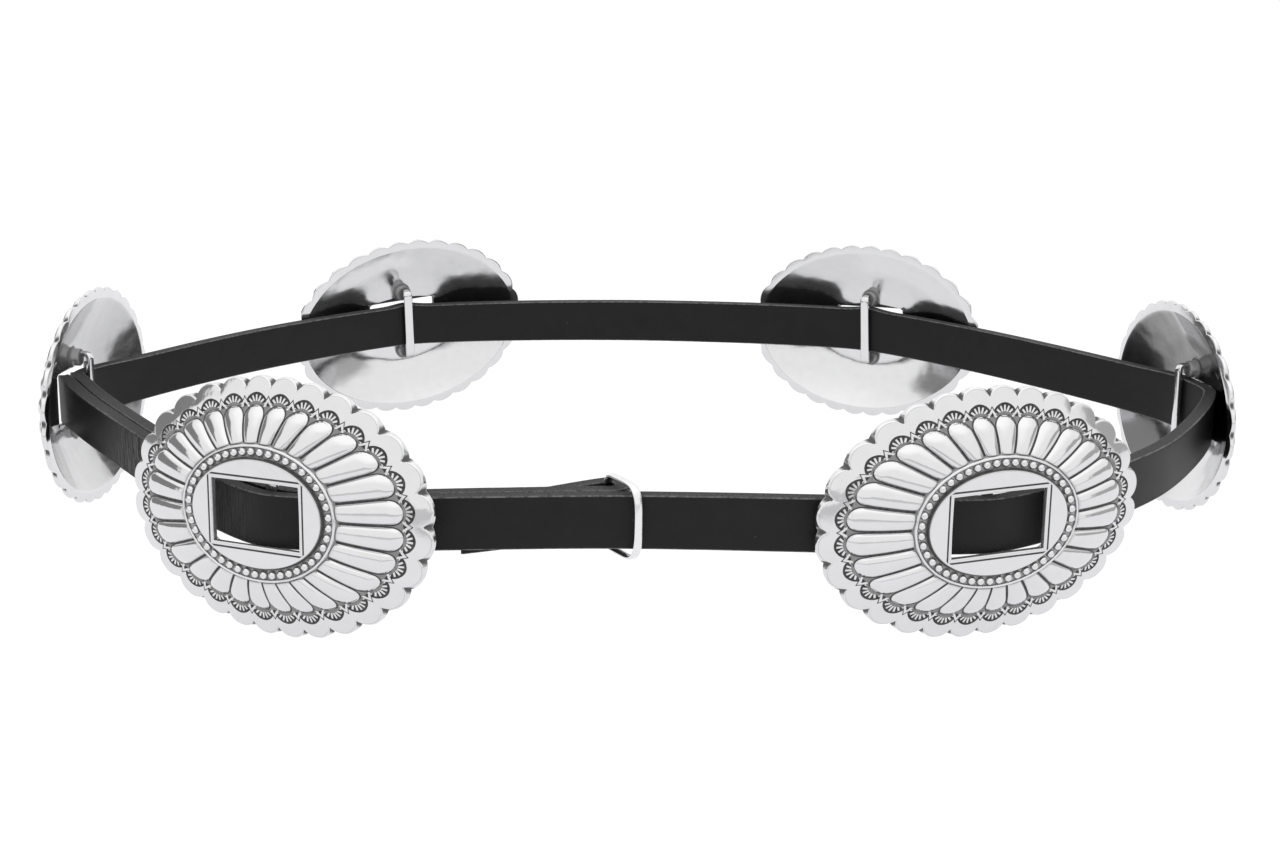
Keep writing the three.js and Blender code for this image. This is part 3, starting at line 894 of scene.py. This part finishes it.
def strap_stations(matrices):
    """The strap's middle line from its hidden start to the tip of its tail."""
    bars = [station_at(c, m, 0, STRAP_SEAT) for c, m in zip(CONCHOS, matrices)]
    left = LAST_STRETCH["a"]
    start = station_at(CONCHOS[left], matrices[left], HIDDEN_END["u"], HIDDEN_END["w"])
    start["course"] += HIDDEN_END["turn"]
    start["p"].z += HIDDEN_END["lift"]
    side_middle = halfway(bars[left], bars[0], LAST_STRETCH["bow"])
    side_middle["k"] = COARSE_STEPS
    keeper = halfway(bars[0], bars[1], STRETCHES[0]["bow"])
    first = dict(bars[0], course=near(side_middle["course"], bars[0]["course"]), k=2 * COARSE_STEPS)
    outer = [start]
    outer += curve(start, side_middle, LAST_STRETCH["middle"], LAST_STRETCH["middle"])
    outer += curve(side_middle, first, LAST_STRETCH["middle"], LAST_STRETCH["reach"])
    outer += curve(first, keeper, STRETCHES[0]["leave"], STRETCHES[0]["middle"])
    stations = list(outer)
    stations += curve(keeper, bars[1], STRETCHES[0]["middle"], STRETCHES[0]["reach"])
    for s in STRETCHES[1:]:
        a, b = bars[s["a"]], bars[s["b"]]
        middle = halfway(a, b, s["bow"])
        stations += curve(a, middle, s["leave"], s["middle"])
        if s["b"] == ENTRY["concho"]:
            place, matrix = CONCHOS[s["b"]], matrices[s["b"]]
            entry = station_at(place, matrix, ENTRY["u"], ENTRY["w"])
            entry["course"] -= ENTRY["turn"]
            stations += curve(middle, entry, s["middle"], ENTRY["reach"])
            stations += curve(entry, b, leave=4, reach=3, steps=16)
        else:
            stations += curve(middle, b, s["middle"], s["reach"])
    # The second layer lies inside the first, as far as the keeper ring.
    inner = []
    for s in outer:
        share = max(0.0, 1 - abs(s["k"] - 2 * COARSE_STEPS) / 3)
        inner.append(inward(s, LAYER_GAP + (BAR_GAP - LAYER_GAP) * share))
    stations += curve(bars[left], inner[0], leave=2, reach=2, steps=24)
    fold = ring_place(keeper, RING_BACK)
    tail = directions(keeper["course"])
    fold_start = fold + tail["level"] * FOLD_RADIUS
    last = 3 * COARSE_STEPS - RING_CLEARANCE
    stations += [s for s in inner[1:] if s["k"] <= last]
    at_fold = station(fold_start, keeper["course"])
    stations += curve(stations[-1], at_fold, leave=6, reach=6, steps=14)
    for i in range(1, 25):
        turn = 180 * i / 24
        p = fold + directions(keeper["course"] + turn)["level"] * FOLD_RADIUS
        stations.append(station(p, keeper["course"] + turn))
    # The tail runs back inside the second layer and droops towards its tip.
    for i in range(1, 61):
        t = i / 60
        ease = float(smooth01(np.float64(t / 0.7)))
        p = fold - tail["along"] * (TAIL_LENGTH * t)
        p = p + tail["level"] * (-FOLD_RADIUS + (2 * FOLD_RADIUS - LAYER_GAP - 0.2) * ease)
        p.z -= TAIL_DROOP * t
        stations.append(station(p, keeper["course"] + 180))
    return stations, keeper


def strap_profile():
    """Section of the strap: outward share, up share, small offsets and edge.

    edge is 0 on a face, 0.5 on the rubbed corner line and 1 on the raw edge.
    """
    half_t, corner = 0.5 * STRAP_THICKNESS, 0.5
    quarter = []
    for k, edge in enumerate([0.1, 0.40, 0.5, 0.56, 0.8]):
        turn = math.pi / 2 * k / 4
        quarter.append((half_t - corner + corner * math.cos(turn),
                        corner * (math.sin(turn) - 1), edge))
    top = [(0.7, -0.06, 1.0), (0.0, -0.10, 1.0), (-0.7, -0.06, 1.0)]
    face = [(half_t, share, 0.0) for share in (-0.86, -0.57, -0.29, 0.0, 0.29, 0.57, 0.86)]
    section = [(x, share, 0.0, e) for x, share, e in face]
    section += [(x, 1.0, dy, e) for x, dy, e in quarter + top]
    section += [(-x, 1.0, dy, e) for x, dy, e in reversed(quarter)]
    section += [(-x, share, 0.0, e) for x, share, e in reversed(face)]
    section += [(-x, -1.0, -dy, e) for x, dy, e in quarter]
    section += [(x, -1.0, -dy, e) for x, dy, e in reversed(top)]
    section += [(x, -1.0, -dy, e) for x, dy, e in reversed(quarter)]
    return section


def strap_object(stations, crowns, material):
    profile = strap_profile()
    points, lay, crease, place = [], [], [], []
    run = 0.0
    for index, s in enumerate(stations):
        if index > 0:
            run += (s["p"] - stations[index - 1]["p"]).length
        d = directions(s["course"], s["lean"])
        half_h = 0.5 * strap_height(s["p"].x, s["p"].y)
        worn = 0.0
        if index < 3 * STEPS:
            worn = smooth01(np.float64(1 - abs(s["k"] - WORN_MIDDLE) / WORN_HALF))
        shrink = 0.12 if index in (0, len(stations) - 1) else 0.0
        crown = max(rise * math.exp(-((s["p"] - bar).length / spread) ** 2)
                    for bar, rise, spread in crowns)
        for x, share, dy, e in profile:
            y = share * half_h + dy + crown * max(share, 0.0) ** 2
            wave = noise.noise(Vector((run * 0.09, y * 0.2, x * 0.4 + 7.0)))
            fine = noise.noise(Vector((run * 0.9, y * 0.6, x * 1.3)))
            p = s["p"] + d["out"] * (x * (1 - shrink) + 0.03 * wave)
            p = p + d["across"] * (y * (1 - 0.1 * shrink) + (0.05 * fine if e > 0.6 else 0.0))
            points.append(tuple(p))
            lay.append((run, y if abs(share) < 1.0 else x + 20.0, e))
            crease.append(float(worn))
            place.append((run, y, x))
    # The section runs the other way round here, so its faces are turned to look outward.
    faces = [face[::-1] for face in skin(len(stations), len(profile), closed=False)]
    values = dict(lay=lay, crease=crease, place=place)
    return add_object("strap_leather", make_mesh("strap_leather", points, faces, material, values))


def ring_object(keeper, material):
    """Keeper ring: half-round wire bent to an oval that is squarer at the back."""
    back = ring_place(keeper, RING_BACK)
    front = ring_place(keeper, RING_FRONT)
    depth = front - back
    half_x, half_z = 0.5 * depth.length, 0.5 * RING_HEIGHT
    middle = (back + front) * 0.5
    forward = depth.normalized()
    up = Vector((0, 0, 1))
    side = forward.cross(up)
    section = []
    for k in range(20):
        turn = 2 * math.pi * k / 20
        c, s = math.cos(turn), math.sin(turn)
        flat = 0.75 if s < 0 else 1.0
        section.append((0.5 * RING_WIDTH * math.copysign(abs(c) ** 0.7, c),
                        0.5 * RING_THICKNESS * math.copysign(abs(s) ** 0.85, s) * flat))
    points, shade = [], []
    count = 96
    for i in range(count):
        turn = 2 * math.pi * (i + 0.5) / count
        c, s = math.cos(turn), math.sin(turn)
        power = RING_SQUARENESS[0] if c > 0 else RING_SQUARENESS[1]
        x = math.copysign(abs(c) ** (2 / power), c)
        z = math.copysign(abs(s) ** (2 / power), s)
        outward = forward * math.copysign(abs(x) ** (power - 1) / half_x, c)
        outward = (outward + up * math.copysign(abs(z) ** (power - 1) / half_z, s)).normalized()
        centre = middle + forward * (x * half_x) + up * (z * half_z)
        for sx, sy in section:
            points.append(tuple(centre + side * sx + outward * sy))
            shade.append(0.6 if sy < -0.25 else 0.0)
    faces = skin(count, len(section), closed=True)
    mesh = make_mesh("keeper_ring_band", points, faces, material, dict(shade=shade, place=points))
    return add_object("keeper_ring_band", mesh)


def dress(piece, node):
    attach(piece, "root")
    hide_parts(node)


def make_floor():
    mesh = bpy.data.meshes.new("floor")
    size = FLOOR_HALF
    corners = [(-size, -size, 0), (size, -size, 0), (size, size, 0), (-size, size, 0)]
    mesh.from_pydata(corners, [], [(0, 1, 2, 3)])
    material, n, shader = new_material("floor")
    shader.inputs["Base Color"].default_value = grey(FLOOR_GREY)
    shader.inputs["Roughness"].default_value = 0.9
    shader.inputs["Specular IOR Level"].default_value = 0.0
    shader.inputs["Emission Color"].default_value = grey(1.0)
    position = n.add("ShaderNodeTexCoord").outputs["Object"]
    y = n.split(position)[1]
    nearby = n.step(y, *GLOW_EDGE)
    n.put(shader.inputs["Emission Strength"], n.mix(nearby, FLOOR_GLOW, NEAR_GLOW))
    mesh.materials.append(material)
    floor = add_object("floor", mesh)
    floor.location.z = -0.0002


def make_world():
    world = bpy.data.worlds.new("studio")
    world.use_nodes = True
    world.node_tree.nodes.clear()
    n = Nodes(world.node_tree)
    background = n.add("ShaderNodeBackground")
    output = n.add("ShaderNodeOutputWorld")
    world.node_tree.links.new(background.outputs[0], output.inputs[0])
    place = n.add("ShaderNodeTexCoord")
    x, y, z = n.split(place.outputs["Generated"])
    flat = n.math("SQRT", n.plus(n.plus(n.times(x, x), n.times(y, y)), 0.0001))
    east = n.math("DIVIDE", x, flat)
    north = n.math("DIVIDE", y, flat)
    level = n.mix(n.step(z, 0.5, 0.95), WORLD_LOW, WORLD_TOP)
    # Each darker side is a sector that ends low down and leaves the wall behind white.
    left = n.both(n.step(east, 0.0, -0.1), n.step(north, -0.13, -0.09), n.step(z, 0.50, 0.42))
    right = n.both(n.step(east, 0.0, 0.1), n.step(north, -0.34, -0.22), n.step(z, 0.34, 0.24))
    behind = n.step(north, 0.62, 0.72)
    left = n.both(left, n.without(behind))
    right = n.both(right, n.without(behind))
    level = n.mix(left, level, SIDE_LEFT)
    level = n.mix(right, level, SIDE_RIGHT)
    n.put(background.inputs[0], n.join(level, level, level))
    background.inputs[1].default_value = 1.0
    bpy.context.scene.world = world


def make_camera():
    data = bpy.data.cameras.new("camera")
    data.lens = CAMERA_LENS
    data.sensor_width = 36.0
    data.sensor_fit = "HORIZONTAL"
    data.clip_start = 0.01
    camera = bpy.data.objects.new("camera", data)
    bpy.context.scene.collection.objects.link(camera)
    pitch, roll = math.radians(CAMERA_PITCH), math.radians(CAMERA_ROLL)
    ahead = Vector((0, math.cos(pitch), -math.sin(pitch)))
    right = Vector((1, 0, 0))
    up = right.cross(ahead)
    turned_right = right * math.cos(roll) + up * math.sin(roll)
    turned_up = up * math.cos(roll) - right * math.sin(roll)
    matrix = Matrix((turned_right, turned_up, -ahead)).transposed().to_4x4()
    matrix.translation = Vector(CAMERA_PLACE) * MM
    camera.matrix_world = matrix
    bpy.context.scene.camera = camera


def add_conchos():
    """Six copies of one concho, each where it stands; returns their places."""
    base = concho_mesh(silver_material())
    points = np.array([v.co[:] for v in base.vertices]) / MM
    zone = np.array([value.vector[2] for value in base.attributes["flat"].data])
    matrices = []
    for number, place in enumerate(CONCHOS):
        matrix = stand(place, points)
        matrices.append(matrix)
        metres = matrix.copy()
        metres.translation = matrix.translation * MM
        mesh = base.copy()
        mesh.transform(metres)
        # Each copy reads another part of the noise, so no two are marked alike.
        local = points + np.array([97.0 * number, 0.0, 0.0])
        mesh.attributes["place"].data.foreach_set("vector", local.astype(np.float32).ravel())
        # Each copy gets its own strength of painted dark reflection in its bowl.
        spec = PAINTED_REFLECTIONS.get(place["name"], NO_PAINTED_REFLECTIONS)
        set_attribute(mesh, "painted_reflection", painted_reflections(points, zone, spec))
        dress(add_object(place["name"] + "_cast", mesh), place["name"])
    bpy.data.meshes.remove(base)
    return matrices


matrices = add_conchos()
route, keeper_station = strap_stations(matrices)
crowns = [(matrices[c["concho"]] @ Vector((0, 0, STRAP_SEAT)), c["rise"], c["spread"])
          for c in CROWNS]
dress(strap_object(route, crowns, leather_material()), "strap")
dress(ring_object(keeper_station, ring_material()), "keeper_ring")

make_floor()
make_world()
make_camera()
bpy.context.scene.view_settings.view_transform = "Standard"
